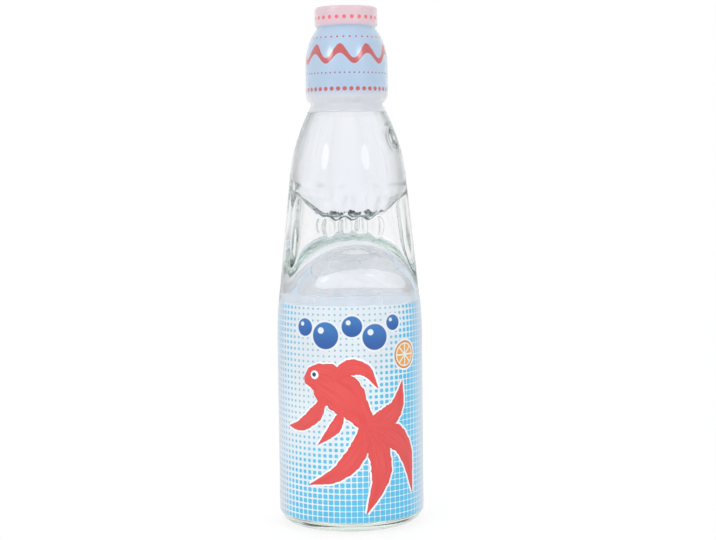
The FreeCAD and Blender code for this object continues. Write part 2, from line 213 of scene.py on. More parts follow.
# A piece's own coordinates, in metres.
def objectCoords(tree):
    return tree.nodes.new("ShaderNodeTexCoord").outputs["Object"]


# The two print coordinates of a piece.
def uvFields(tree):
    uvNode = tree.nodes.new("ShaderNodeUVMap")
    uvNode.uv_map = "print"
    return splitFields(tree, uvNode.outputs["UV"])


# The first two parts of a vector.
def splitFields(tree, vector):
    split = tree.nodes.new("ShaderNodeSeparateXYZ")
    tree.links.new(vector, split.inputs["Vector"])
    return Field(tree, split.outputs["X"]), Field(tree, split.outputs["Y"])


# A flat vector from its two parts.
def joinFields(tree, x, y):
    node = tree.nodes.new("ShaderNodeCombineXYZ")
    tree.links.new(x.socket, node.inputs["X"])
    tree.links.new(y.socket, node.inputs["Y"])
    return node.outputs["Vector"]


# Tilt a shader's surface by the slope of a height field.
def addBump(tree, shader, height, strength, distance):
    bump = tree.nodes.new("ShaderNodeBump")
    bump.inputs["Strength"].default_value = strength
    bump.inputs["Distance"].default_value = distance
    tree.links.new(height.socket, bump.inputs["Height"])
    tree.links.new(bump.outputs["Normal"], shader.inputs["Normal"])


# Lay a colour over another where the mask is 1.
def overlay(tree, under, colour, mask):
    mix = tree.nodes.new("ShaderNodeMix")
    mix.data_type = "RGBA"
    colourSockets = [socket for socket in mix.inputs if socket.type == "RGBA"]
    for socket, item in zip(colourSockets, (under, colour)):
        if isinstance(item, tuple):
            socket.default_value = item
        else:
            tree.links.new(item, socket)
    tree.links.new(mask.socket, mix.inputs["Factor"])
    return next(socket for socket in mix.outputs if socket.type == "RGBA")


# A colour as seen on screen, 0 to 255, as the linear value that a socket takes: a straight toe for the
# darkest tones and a power of 2.4 above it.
def rgb(red, green, blue):
    seen = np.array([red, green, blue]) / 255
    linear = np.where(seen <= 10 / 255, seen / 12.92, ((seen + 0.055) / 1.055) ** 2.4)
    return (*linear.tolist(), 1.0)


# Clear glass or liquid: it bends light by its index and takes up a tint with depth.
def clearGlass(name, look):
    material, tree, shader = newMaterial(name)
    setSockets(shader, Base_Color=(1, 1, 1, 1), Roughness=0.0, IOR=look["ior"], Transmission_Weight=1.0)
    volume = tree.nodes.new("ShaderNodeVolumeAbsorption")
    volume.inputs["Color"].default_value = look["tint"]
    volume.inputs["Density"].default_value = look["density"]
    tree.links.new(volume.outputs["Volume"], tree.nodes["Material Output"].inputs["Volume"])
    if look["grain"]:
        # moulded glass is slightly uneven
        addBump(tree, shader, noiseField(tree, objectCoords(tree), look["grain"]), *look["grainBump"])
    return material


# glass bottle

glass = dict(
    bodyRadius=28.9, heelRadius=6.0, footWidth=4.4, pushUp=4.0,
    bodyTop=74.0, coneBottom=91.0, coneTop=138.0, coneTaper=0.1025, neckBase=166.3,
    neckRadius=14.2, collarTop=168.6, finishRadius=13.0, mouth=185.8, mouthEdge=0.8,
    beadBottom=173.0, beadTop=175.4, beadRadius=14.0, beadSlope=1.0,
    wall=4.3, floor=9.5, innerHeel=9.0, boreRadius=10.0, boreEdge=0.4,
    pinchHalfWidth=9.0, pinchWall=3.6, soleHeight=122.4, crownHeight=114.6,
    soleFlat=13.6, soleSlope=1.0, soleTurn=1.5, soleWall=1.5, soleWave=0.7, soleFoot=1.2,
    crownSpread=5.5, crownSteep=1.16, crownWall=6.4, crownFoot=6.0,
    outerRounds=(1.5, 2.0), innerRounds=(3.0, 6.0),
    ribRadius=3.1, ribHalfHeight=5.0, ribRise=1.5, ribPitch=6.6, ribCount=4, ribRound=0.6,
    dimpleHeight=154.6, dimpleRadius=9.0, dimpleDepth=1.3, dimpleAngle=39.5, dimpleWall=1.6,
    outerDimpleRound=0.6, innerDimpleRound=3.0,
    tint=(0.65, 0.725, 0.685, 1), density=17.0, ior=1.52, grain=60.0, grainBump=(0.06, 0.002),
    columns=256, poleRadius=0.6, rayReach=32.0, halvings=26,
    # runs of rings from the heel up, as first and last height and count, close where the form turns fast
    ringRuns=((12, 88, 10), (91, 100, 8), (100.5, 134, 82), (134.8, 147, 16), (147.6, 161.4, 26),
              (162, 166.2, 7)),
)
pinchHeights = np.concatenate([np.linspace(*run) for run in glass["ringRuns"]])
coneSlant = math.hypot(1, glass["coneTaper"])
shoulderRise = glass["coneBottom"] - glass["bodyTop"]
shoulderArc = shoulderRise * coneSlant / glass["coneTaper"]
coneBottomRadius = glass["bodyRadius"] - shoulderRise * (coneSlant - 1) / glass["coneTaper"]
coneTopRadius = coneBottomRadius - (glass["coneTop"] - glass["coneBottom"]) * glass["coneTaper"]


# Radius of the smooth outline at height z: cylinder, shoulder arc, cone and bulb arc in turn.
def outlineRadius(z, wall, endRadius):
    g = glass
    rise = np.clip(z - g["bodyTop"], 0, shoulderRise)
    shoulder = g["bodyRadius"] - shoulderArc + np.sqrt(shoulderArc ** 2 - rise ** 2)
    cone = coneBottomRadius - (z - g["coneBottom"]) * g["coneTaper"]
    start = np.array([coneTopRadius - wall, g["coneTop"]])
    across = np.array([endRadius, g["neckBase"]]) - start
    left = np.array([-1.0, -g["coneTaper"]]) / coneSlant
    bulbArc = across @ across / (2 * across @ left)
    centre = start + left * bulbArc
    bulb = centre[0] + np.sqrt(bulbArc ** 2 - (np.clip(z, g["coneTop"], g["neckBase"]) - centre[1]) ** 2)
    straight = np.where(z < g["coneBottom"], shoulder, cone) - wall
    return np.where(z < g["coneTop"], straight, bulb)


# The smaller of two distances, blended over a width.
def softMin(a, b, width):
    mix = np.clip(0.5 + 0.5 * (b - a) / width, 0, 1)
    return b * (1 - mix) + a * mix - width * mix * (1 - mix)


# The larger of two distances, blended over a width.
def softMax(a, b, width):
    return -softMin(-a, -b, width)


# Signed distance, about, to the pinched form. A point is inside when it is within the outline and in the
# slab between the pinches, above the marble chamber's sole or under the drink chamber's crown, and when it
# is in neither dimple's ball. The sole is flat, coned farther out and waved in step with the ribs. The crown
# is a ball, steeper towards the sides. The ribs are rows of stretched balls on the slab.
def pinchedDistance(x, y, z, wall, insets, rounds, soleWave, dimpleGrow, dimpleRound, endRadius, withRibs):
    g = glass
    across = np.hypot(x, y)
    slabInset, soleInset, crownInset = insets
    wave = np.cos(2 * np.pi * x / g["ribPitch"]) * np.exp(-(x / g["soleFlat"]) ** 6)
    up = z - g["soleHeight"] + soleWave * wave
    slope = (g["soleSlope"] * (across - g["soleFlat"]) - up) / math.hypot(1, g["soleSlope"])
    sole = softMax(-up, slope, g["soleTurn"]) + soleInset
    crownRadius = g["bodyRadius"] + g["crownSpread"]
    crownAcross = np.hypot(x * g["crownSteep"], y)
    crown = np.hypot(crownAcross, z - g["crownHeight"] + crownRadius) - crownRadius + crownInset
    slab = np.abs(y) - g["pinchHalfWidth"] + slabInset
    if withRibs:
        start = -(g["ribCount"] - 1) / 2 * g["ribPitch"]
        row = np.clip(np.round((x - start) / g["ribPitch"]), 0, g["ribCount"] - 1)
        offset = x - start - row * g["ribPitch"]
        rib = np.hypot(offset, np.abs(y) - g["pinchHalfWidth"] - g["ribRise"] + g["ribRadius"])
        rise = (z - (g["soleHeight"] + g["crownHeight"]) / 2) * g["ribRadius"] / g["ribHalfHeight"]
        slab = softMin(slab, np.hypot(rib, rise) - g["ribRadius"], g["ribRound"])
    core = softMin(softMin(slab, sole, g["soleFoot"]), crown, g["crownFoot"])
    outside = across - outlineRadius(z, wall, endRadius)
    upward = np.clip((z - g["crownHeight"]) / (g["soleHeight"] - g["crownHeight"]), 0, 1)
    form = softMax(outside, core, rounds[0] + (rounds[1] - rounds[0]) * upward)
    bulbRadius = outlineRadius(np.array(g["dimpleHeight"]), 0, g["neckRadius"])
    reach = float(bulbRadius) + g["dimpleRadius"] - g["dimpleDepth"]
    turn = math.radians(g["dimpleAngle"])
    ball = np.sqrt((x - reach * math.cos(turn)) ** 2 + (np.abs(y) - reach * math.sin(turn)) ** 2
                   + (z - g["dimpleHeight"]) ** 2)
    return softMax(form, g["dimpleRadius"] + dimpleGrow - ball, dimpleRound)


# Radius where each level ray from the axis leaves the pinched form, found by halving.
def pinchedRadius(z, cols, form):
    angle = np.linspace(0, 2 * np.pi, cols, endpoint=False)[None]
    z = np.asarray(z, float)[:, None]
    low = np.zeros((len(z), cols))
    high = low + glass["rayReach"]
    for step in range(glass["halvings"]):
        middle = (low + high) / 2
        inside = pinchedDistance(middle * np.cos(angle), middle * np.sin(angle), z, **form) < 0
        low, high = np.where(inside, middle, low), np.where(inside, high, middle)
    return (low + high) / 2


outerForm = dict(
    wall=0.0, insets=(0.0, 0.0, 0.0), rounds=glass["outerRounds"], soleWave=glass["soleWave"],
    dimpleGrow=0.0, dimpleRound=glass["outerDimpleRound"], endRadius=glass["neckRadius"], withRibs=True,
)
innerForm = dict(
    wall=glass["wall"], insets=(glass["pinchWall"], glass["soleWall"], glass["crownWall"]),
    rounds=glass["innerRounds"], soleWave=0.0, dimpleGrow=glass["dimpleWall"],
    dimpleRound=glass["innerDimpleRound"], endRadius=glass["boreRadius"], withRibs=False,
)


# Rings of the bottle: from the push-up round the heel, up the pinched outside and over the mouth, then down
# the pinched inside to the floor.
def glassRings():
    g = glass
    r, heel = g["bodyRadius"], g["heelRadius"]
    base = [np.array([[g["poleRadius"], g["pushUp"]]])]
    base.append(arcPoints(base[0][0], (1, 0), (r - heel - g["footWidth"], 0), 10))
    base.append(runPoints(base[-1][-1], (r - heel, 0), 4))
    base.append(arcPoints(base[-1][-1], (1, 0), (r, heel), 10))
    base = np.concatenate(base)
    finish = [(g["neckRadius"], g["neckBase"]), (g["neckRadius"], g["collarTop"]),
              (g["finishRadius"], g["collarTop"]), (g["finishRadius"], g["beadBottom"]),
              (g["beadRadius"], g["beadBottom"]), (g["beadRadius"], g["beadTop"]),
              (g["finishRadius"], g["beadTop"] + g["beadSlope"]),
              (g["finishRadius"], g["mouth"] - g["mouthEdge"])]
    lip = arcPoints(finish[-1], (0, 1), (g["finishRadius"] - g["mouthEdge"], g["mouth"]), 5)
    bore = [(g["boreRadius"] + g["boreEdge"], g["mouth"]), (g["boreRadius"], g["mouth"] - g["boreEdge"])]
    finish = np.concatenate([finish, lip, bore])
    inner = r - g["wall"]
    bottom = [np.array([[inner, g["floor"] + g["innerHeel"]]])]
    bottom.append(arcPoints(bottom[0][-1], (0, -1), (inner - g["innerHeel"], g["floor"]), 8))
    bottom.append(runPoints(bottom[-1][-1], (g["poleRadius"], g["floor"]), 4))
    bottom = np.concatenate(bottom)
    cols = g["columns"]
    downward = pinchHeights[::-1][:-1]
    return np.concatenate([
        ringsOf(base[:, 0], base[:, 1], cols),
        ringsOf(pinchedRadius(pinchHeights, cols, outerForm), pinchHeights, cols),
        ringsOf(finish[:, 0], finish[:, 1], cols),
        ringsOf(pinchedRadius(downward, cols, innerForm), downward, cols),
        ringsOf(bottom[:, 0], bottom[:, 1], cols),
    ])


bottle = latheMesh("bottle_glass", glassRings(), poles=(True, True))
bottle.data.materials.append(clearGlass("bottle_glass", glass))
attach(bottle, "bottle")
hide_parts("glass_bottle")
print("glass bottle:", len(bottle.data.polygons), "faces")


# drink

drink = dict(
    level=162.8, meniscus=1.5, decay=1.3, lap=0.06, wetFrom=22.0, columns=160,
    surfaceStart=0.12, surfaceReach=8.0, surfaceRings=14,
    tint=(0.2, 0.325, 0.863, 1), density=3.2, ior=1.335, grain=0.0,
)


# Rings of the drink: over the floor, up the inner wall, which it laps a little, and in over the surface,
# which sinks from the wall as a falling exponential.
def drinkRings():
    g, d = glass, drink
    inner = g["bodyRadius"] - g["wall"] + d["lap"]
    floor = g["floor"] - d["lap"]
    heel = [np.array([[g["poleRadius"], floor], [inner - g["innerHeel"], floor]])]
    heel.append(arcPoints(heel[0][-1], (1, 0), (inner, floor + g["innerHeel"]), 8))
    heel = np.concatenate(heel)
    heights = pinchHeights[(pinchHeights > d["wetFrom"]) & (pinchHeights < d["level"])]
    heights = np.append(heights, d["level"] + d["meniscus"])
    wet = pinchedRadius(heights, d["columns"], innerForm) + d["lap"]
    inward = np.geomspace(d["surfaceStart"], d["surfaceReach"], d["surfaceRings"])
    rise = d["meniscus"] * np.exp(-inward / d["decay"])
    top = np.maximum(wet[-1:] - inward[:, None], g["poleRadius"])
    return np.concatenate([
        ringsOf(heel[:, 0], heel[:, 1], d["columns"]),
        ringsOf(wet, heights, d["columns"]),
        ringsOf(top, d["level"] + rise, d["columns"]),
    ])


drinkPiece = latheMesh("drink", drinkRings(), poles=(True, True))
drinkPiece.data.materials.append(clearGlass("clear_drink", drink))
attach(drinkPiece, "bottle")
print("drink:", len(drinkPiece.data.polygons), "faces")


# marble

# the marble shows only once it lies in the drink, so it bends light as glass does against the drink
marble = dict(
    rings=48, columns=96, tint=(0.45, 0.80, 0.82, 1), density=55.0, ior=glass["ior"] / drink["ior"],
    grain=150.0, grainBump=(0.05, 0.001),
)


# A ball: rings at even angles from the south pole to the north pole.
def marbleRings(low, high):
    centre = (np.array(low) + np.array(high)) / 2 / mm
    radius = (high[2] - low[2]) / 2 / mm
    angle = np.linspace(0, np.pi, marble["rings"] + 2)[1:-1]
    return ringsOf(radius * np.sin(angle), centre[2] - radius * np.cos(angle), marble["columns"])


marblePiece = latheMesh("marble_ball", marbleRings(*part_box("marble")), poles=(True, True))
marblePiece.data.materials.append(clearGlass("marble_glass", marble))
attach(marblePiece, "marble")
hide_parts("marble")
print("marble:", len(marblePiece.data.polygons), "faces")


# films

# A film's two looks: its rings run up the outside, then down the inside, so the later half is its inner side.
def putFilmLooks(piece, rows, columns, outside, inside):
    piece.data.materials.append(outside)
    piece.data.materials.append(inside)
    innerFaces = np.arange(len(piece.data.polygons)) // columns >= rows // 2
    piece.data.polygons.foreach_set("material_index", innerFaces.astype(np.int32))


# label sleeve

label = dict(
    bottom=4.5, top=93.0, printTop=88.8, printEdge=0.15, outer=0.13, inner=0.05, columns=256, front=-101.0,
    ground=rgb(214, 229, 241), paper=rgb(232, 240, 247), cyan=rgb(74, 184, 235), grey=rgb(150, 188, 200),
    blue=rgb(52, 112, 180), deepBlue=rgb(36, 84, 158), orange=rgb(240, 160, 56), rust=rgb(190, 84, 52),
    # edge is the colour of the painted shade towards both sides
    clear=rgb(235, 243, 248), edge=rgb(206, 211, 222), backing=rgb(238, 242, 232),
    dotPitch=2.28, inkStart=1.096, inkFall=0.0188, inkRight=0.02, inkSides=0.01, inkLeast=0.08, inkMost=0.95,
    cornerReach=36.0, cornerRise=0.012, cornerDrop=0.12, inkDeepen=2.6, cloud=0.05,
    dotCorner=5.0, dotRound=2.0, dotPower=0.7, dotGrow=0.345, dotLeast=0.12, dotSoft=0.05,
    # each bubble's and the slice's place right of the front line, height and radius
    bubbles=((-18.5, 80.5, 3.4), (-9.5, 77.5, 5.2), (1.0, 81.0, 4.0), (10.0, 76.8, 5.0), (18.0, 82.0, 3.0)),
    slice=(24.0, 69.0, 5.4), rim=0.8, soft=0.12, fineSoft=0.1,
    # parts of a bubble's or the slice's radius, but for the rind, in mm
    glintAside=0.35, glintUp=0.38, glintSize=0.24, rind=0.35, pith=0.85, flesh=0.77,
    wedges=8, spokeArc=0.78, spokeHalf=0.28, spokeSoft=0.06,
    # the painted shade towards both sides: its share, where it starts and how soft it is, then the clear
    # film's alpha
    sideShade=0.85, sideShadeStart=33.0, sideShadeSoft=9.0, clearAlpha=0.16,
    crinkle=0.12, crinkleStretch=(1, 0.5, 1), crinkleBump=(0.10, 0.002),
    # glow, lowGlow, glowTop, glowSpan and glowFoot set the inner side's painted glow; veil and lowVeil its
    # white backing
    glow=0.62, lowGlow=0.9, glowTop=66.0, glowSpan=14.0, glowFoot=8.0, veil=0.2, lowVeil=0.9,
)


# Radius of the label at height z: round the heel, then along the outline, a gap off the glass.
def labelRadius(z, off):
    g = glass
    drop = np.clip(g["heelRadius"] - z, 0, None)
    heel = g["bodyRadius"] - g["heelRadius"] + np.sqrt((g["heelRadius"] + off) ** 2 - drop ** 2)
    return np.where(z < g["heelRadius"], heel, outlineRadius(z, 0, g["neckRadius"]) + off)


# The sleeve's rings: up the outside, a step inwards and down the inside.
def labelRings():
    heel, bodyTop, cols = glass["heelRadius"], glass["bodyTop"], label["columns"]
    up = np.concatenate([np.linspace(label["bottom"], heel, 5), np.linspace(heel + 2, bodyTop, 20),
                         np.linspace(bodyTop + 1.5, label["top"], 14)])
    down = up[::-1]
    rings = np.concatenate([ringsOf(labelRadius(up, label["outer"]), up, cols),
                            ringsOf(labelRadius(down, label["inner"]), down, cols)])
    return rings, np.concatenate([up, down])


# The printed film: halftone dots that grow into a grid of squares, a row of bubbles and a citrus slice, with
# painted shade towards both sides.
# Its inner side has a painted glow that stands in for the light that comes through the film.
def labelPrint(name, glow):
    film = label
    material, tree, shader = newMaterial(name)
    setSockets(shader, Roughness=0.38, IOR=1.45, Subsurface_Weight=0.5, Subsurface_Scale=0.0006,
               Subsurface_Radius=(1, 1, 1))
    u, z = uvFields(tree)
    around = (glass["bodyRadius"] + film["outer"]) * 2 * math.pi
    s = (u - (film["front"] / 360 + 1)) * around  # mm to the right of the front line

    # distance from a place on the film
    def away(s0, z0):
        a, b = s - s0, z - z0
        return (a * a + b * b).calc("SQRT")

    # the share of ink grows downwards, to the right and, in the upper half, towards both edges
    share = z * -film["inkFall"] + film["inkStart"] + s * film["inkRight"] + abs(s) * film["inkSides"]
    corner = (s / film["cornerReach"]) ** 4.0 * (z * film["cornerRise"] - film["cornerDrop"])
    share = (share.calc("MAXIMUM", film["inkLeast"]) + corner).calc("MINIMUM", film["inkMost"])
    # each dot is round at a small share, and its corners and size fill out as the share grows
    a = abs((s / film["dotPitch"]).calc("FRACT") - 0.5)
    b = abs((z / film["dotPitch"]).calc("FRACT") - 0.5)
    power = share * share * film["dotCorner"] + film["dotRound"]
    reach = (a ** power + b ** power) ** (power ** -1.0)
    dots = reach.below(share ** film["dotPower"] * film["dotGrow"] + film["dotLeast"], film["dotSoft"])
    ink = overlay(tree, film["grey"], film["cyan"], (share * film["inkDeepen"]).calc("MINIMUM", 1.0))
    place = joinFields(tree, s, z)
    colour = overlay(tree, film["ground"], film["paper"], noiseField(tree, place, film["cloud"]))
    colour = overlay(tree, colour, ink, dots)

    # bubbles, deeper in colour downwards, each with a pale rim and a pale glint
    for s0, z0, r in film["bubbles"]:
        bubble = away(s0, z0)
        glint = away(s0 - r * film["glintAside"], z0 + r * film["glintUp"])
        tone = overlay(tree, film["blue"], film["deepBlue"], z.below(z0, r))
        colour = overlay(tree, colour, film["paper"], bubble.below(r + film["rim"], film["soft"]))
        colour = overlay(tree, colour, tone, bubble.below(r, film["soft"]))
        colour = overlay(tree, colour, film["paper"], glint.below(r * film["glintSize"], film["fineSoft"]))

    # a citrus slice: rim, rind, pith and wedges parted by spokes
    s0, z0, r = film["slice"]
    fruit = away(s0, z0)
    spoke = ((z - z0).calc("ARCTAN2", s - s0) * (film["wedges"] / (2 * math.pi))).calc("FRACT") - 0.5
    fromSpoke = abs(abs(spoke) - 0.5) * fruit * film["spokeArc"]
    wedge = fromSpoke.below(film["spokeHalf"], film["spokeSoft"]) * -1.0 + 1.0
    colour = overlay(tree, colour, film["paper"], fruit.below(r + film["rim"], film["soft"]))
    colour = overlay(tree, colour, film["rust"], fruit.below(r, film["fineSoft"]))
    colour = overlay(tree, colour, film["orange"], fruit.below(r - film["rind"], film["fineSoft"]))
    colour = overlay(tree, colour, film["paper"], fruit.below(r * film["pith"], film["fineSoft"]))
    colour = overlay(tree, colour, film["orange"], fruit.below(r * film["flesh"], film["fineSoft"]) * wedge)

    # painted shade greys the print towards both sides of the front line, and its back shows through a white
    # ground
    pale = abs(s).below(film["sideShadeStart"], film["sideShadeSoft"]) * -film["sideShade"] + film["sideShade"]
    colour = overlay(tree, colour, film["edge"], pale)
    deep = z.below(film["glowTop"], film["glowSpan"])
    if glow:
        veil = deep * (film["lowVeil"] - film["veil"]) + film["veil"]
        colour = overlay(tree, colour, film["backing"], veil)

    # the film is unprinted and clear above the print's edge
    printed = z.below(film["printTop"], film["printEdge"])
    colour = overlay(tree, film["clear"], colour, printed)
    tree.links.new(colour, shader.inputs["Base Color"])
    tree.links.new(colour, shader.inputs["Emission Color"])
    # painted glow on the inner side, stronger between the foot and the upper part, standing in for light
    # through the film
    middle = deep - z.below(film["glowFoot"], film["glowFoot"] / 2)
    paintedGlow = printed * (middle * (film["lowGlow"] - film["glow"]) + film["glow"])
    tree.links.new((paintedGlow * glow).socket, shader.inputs["Emission Strength"])
    tree.links.new((printed * (1 - film["clearAlpha"]) + film["clearAlpha"]).socket, shader.inputs["Alpha"])
    crinkle = noiseField(tree, place, film["crinkle"], stretch=film["crinkleStretch"])
    addBump(tree, shader, crinkle, *film["crinkleBump"])
    return material


labelRingPoints, labelHeights = labelRings()
labelPiece = latheMesh("label_film", labelRingPoints, uv=labelHeights, closeRows=True)
putFilmLooks(labelPiece, len(labelHeights), label["columns"],
             labelPrint("label_print", 0.0), labelPrint("label_inside", 1.0))
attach(labelPiece, "bottle")
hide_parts("label_sleeve")
print("label:", len(labelPiece.data.polygons), "faces")


# brushed goldfish printed on the label

fish = dict(
    red=rgb(206, 52, 52), paleRed=rgb(224, 100, 98), white=rgb(236, 242, 247), ink=rgb(36, 60, 110),
    haloWidth=0.8, haloLift=0.145, printLift=0.160, eyeLift=0.166, pupilLift=0.170,
    skin=0.003, leastWidth=0.12, strokeRings=72, dotRings=26, dotCut=0.998, ribbonSides=16,
    streaks=(40.0, 3.0), streakDetail=3.0, streakShare=0.8,
    # sines that roughen a stroke's sides, as pace along it, turn from stroke to stroke and depth
    ragged=((61, 1.0, 0.03), (23, 2.1, 0.035), (113, 1.0, 0.015)),
    # each stroke is a path, as mm right of the front line and height, with half widths along it
    strokes=(
        (((-19, 60), (-13, 60.5), (-4, 56), (3, 48), (8, 40)), (1.2, 6.4, 8.0, 5.2, 1.8)),
        (((6, 44), (13, 44.5), (19.5, 49), (22.5, 59)), (1.4, 4.0, 3.4, 0.2)),
        (((6, 43), (16, 39), (24, 31), (28, 14)), (1.4, 4.6, 3.8, 0.2)),
        (((6, 43), (11, 33), (12, 22), (6, 8)), (1.4, 4.4, 3.9, 0.2)),
        (((5, 43), (3, 33), (-5, 24), (-17, 19)), (1.2, 3.8, 3.0, 0.2)),
        (((-7, 60), (-1, 65), (6, 64), (11, 57)), (0.8, 3.0, 2.3, 0.2)),
        (((-10, 54), (-14, 47), (-21, 42), (-28, 41)), (0.9, 2.9, 2.2, 0.2)),
        (((-3, 49), (-6, 42), (-13, 35)), (0.8, 2.3, 0.2)),
    ),
    eye=(-14.2, 62.2, 1.7), pupil=(-14.4, 62.3, 0.85),
)


# A smooth curve through given values, evenly spaced: cubic pieces with matched slopes.
def smoothPath(values, t):
    values = np.asarray(values, float).reshape(len(values), -1)
    ends = np.concatenate([2 * values[:1] - values[1:2], values, 2 * values[-1:] - values[-2:-1]])
    place = np.clip(t, 0, 1) * (len(values) - 1)
    first = np.minimum(place.astype(int), len(values) - 2)
    part = (place - first)[:, None]
    p0, p1, p2, p3 = (ends[first + step] for step in range(4))
    return 0.5 * (2 * p1 + (p2 - p0) * part + (2 * p0 - 5 * p1 + 4 * p2 - p3) * part ** 2
                  + (3 * p1 - p0 - 3 * p2 + p3) * part ** 3)


# A flat closed ribbon laid on the label along a path: rings across it, each a thin oval.
def ribbonGrid(path, half, lift, t):
    slope = np.gradient(path, axis=0)
    slope = slope / np.linalg.norm(slope, axis=1)[:, None]
    angle = np.linspace(0, 2 * np.pi, fish["ribbonSides"], endpoint=False)[None]
    across = np.cos(angle) * half[:, None]
    s = path[:, :1] - slope[:, 1:] * across
    z = path[:, 1:] + slope[:, :1] * across
    r = labelRadius(z, lift) + np.sin(angle) * fish["skin"]
    turn = math.radians(label["front"]) + s / (glass["bodyRadius"] + label["outer"])
    rings = np.stack([r * np.cos(turn), r * np.sin(turn), z], axis=-1)
    return latheGrid(rings, poles=(True, True), uv=t)


# A brush stroke: half width along the path, with sides made slightly ragged by a sum of sines.
def strokeGrid(points, widths, grow, lift, seed):
    t = np.linspace(0, 1, fish["strokeRings"])
    path = smoothPath(points, t)
    half = np.maximum(smoothPath(widths, t)[:, 0], fish["leastWidth"])
    ragged = sum(np.sin(t * pace + seed * turn) * depth for pace, turn, depth in fish["ragged"])
    return ribbonGrid(path, half * (1 + ragged) + grow, lift, t)


# All strokes of the fish at one height off the label, each side wider by grow.
def strokeGrids(grow, lift):
    return [strokeGrid(points, widths, grow, lift, seed)
            for seed, (points, widths) in enumerate(fish["strokes"])]


# A round dot: a ribbon whose half width follows a circle, cut just short of its ends.
def dotGrid(s, z, r, lift):
    t = np.linspace(0, 1, fish["dotRings"])
    along = -np.cos(t * np.pi) * r * fish["dotCut"]
    path = np.stack([s + along, np.full_like(t, z)], axis=-1)
    return ribbonGrid(path, np.sqrt(r ** 2 - along ** 2), lift, t)


# Printing ink: two tones streaked along the stroke.
def printInk(name, deep, pale):
    material, tree, shader = newMaterial(name)
    setSockets(shader, Roughness=0.38, IOR=1.45)
    u, t = uvFields(tree)
    around, along = fish["streaks"]
    streak = noiseField(tree, joinFields(tree, u * around, t * along), 1.0, fish["streakDetail"])
    tree.links.new(overlay(tree, deep, pale, streak * fish["streakShare"]), shader.inputs["Base Color"])
    return material


# A printed piece of one or more ribbons, which moves with the label.
def putPrint(name, grids, look):
    piece = putMesh(name, grids)
    piece.data.materials.append(look)
    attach(piece, "bottle")


putPrint("fish_halo", strokeGrids(fish["haloWidth"], fish["haloLift"]),
         printInk("halo_white", fish["white"], fish["white"]))
putPrint("fish_strokes", strokeGrids(0.0, fish["printLift"]),
         printInk("brush_red", fish["red"], fish["paleRed"]))
putPrint("fish_eye", [dotGrid(*fish["eye"], fish["eyeLift"])],
         printInk("eye_white", fish["white"], fish["white"]))
putPrint("fish_pupil", [dotGrid(*fish["pupil"], fish["pupilLift"])],
         printInk("pupil_ink", fish["ink"], fish["ink"]))
print("label print laid on")


# cap seal

seal = dict(
    capRadius=16.2, capBottom=169.5, capEdge=0.5, capHang=0.25, capShoulder=181.0,
    crownRadius=15.1, crownHeight=189.3, spoutRadius=11.5, spoutBase=196.2, waist=196.9, spoutTop=198.0,
    ringRadius=12.25, ringTop=204.7, ringEdge=0.8, rimRadius=8.6,
    neckRadius=glass["neckRadius"], neckBase=glass["neckBase"], tuck=167.0, end=163.5,
    gap=0.05, thickness=0.19, columns=224,
    # pleats as count round the neck, share and start
    pleats=((23, 0.5, 0.0), (37, 0.3, 1.3), (11, 0.4, 0.4)),
    pleatHeight=168.0, pleatSpan=0.9, pleatDepth=0.22,
    pink=rgb(210, 180, 190), deepPink=rgb(222, 70, 92), blue=rgb(152, 178, 206), paleBlue=rgb(166, 191, 217),
    # shade is the colour of the painted shade at the cut edge, glow the strength of the inner side's painted
    # glow
    hem=rgb(200, 203, 212), shade=rgb(96, 100, 94), red=rgb(180, 18, 36), plum=rgb(130, 52, 92), glow=0.08,
    cloud=120.0, crinkle=90.0, crinkleStretch=(1, 1, 0.35), crinkleBump=(0.12, 0.001),
    waveCount=9, waveHeight=185.6, waveSwing=2.4, waveHalf=1.5, waveSwell=0.4, waveSoft=0.1, beadSoft=0.08,
    # rows of beads as count, radius of the row, height and radius of a bead
    domeBeads=(36.0, 13.8, 192.6, 0.38), skirtBeads=(54.0, 16.4, 178.6, 0.34),
    hemBeads=(40.0, 16.4, 172.4, 0.85), ringBeads=(26.0, 12.45, 200.4, 0.8),
    hemTop=171.0, hemSoft=1.6, pinkFrom=197.4, pinkEdge=0.15, shadeRise=0.8, shadeSoft=0.3,
)


# The way up along neck, cap and ring, at a distance off their outside.
def sealSide(off):
    film = seal
    endRadius = float(outlineRadius(np.array(film["end"]), 0, film["neckRadius"]))
    path = [np.array([[endRadius + off, film["end"]]])]
    path.append(runPoints(path[-1][-1], (film["neckRadius"] + off, film["neckBase"]), 4))
    path.append(runPoints(path[-1][-1], (film["neckRadius"] + off, film["tuck"]), 2))
    under = (film["capRadius"] - film["capEdge"] + off, film["capBottom"] - off - film["capHang"])
    path.append(runPoints(path[-1][-1], under, 6))
    path.append(runPoints(path[-1][-1], (film["capRadius"] + off, film["capBottom"] + film["capEdge"]), 3))
    path.append(runPoints(path[-1][-1], (film["capRadius"] + off, film["capShoulder"]), 12))
    crown = (film["crownRadius"] + off, film["crownHeight"])
    path.append(arcPoints(path[-1][-1], (0, 1), crown, 8))
    heading = path[-1][-1] - path[-1][-2]
    path.append(arcPoints(crown, heading, (film["spoutRadius"] + off, film["spoutBase"] + off), 8))
    path.append(runPoints(path[-1][-1], (film["spoutRadius"] + off, film["waist"]), 2))
    path.append(runPoints(path[-1][-1], (film["ringRadius"] + off, film["spoutTop"] - off), 3))
    path.append(runPoints(path[-1][-1], (film["ringRadius"] + off, film["ringTop"] - film["ringEdge"]), 8))
    edge = (film["ringRadius"] - film["ringEdge"], film["ringTop"] + off)
    path.append(arcPoints(path[-1][-1], (0, 1), edge, 5))
    path.append(runPoints(path[-1][-1], (film["rimRadius"], film["ringTop"] + off), 5))
    return np.concatenate(path)


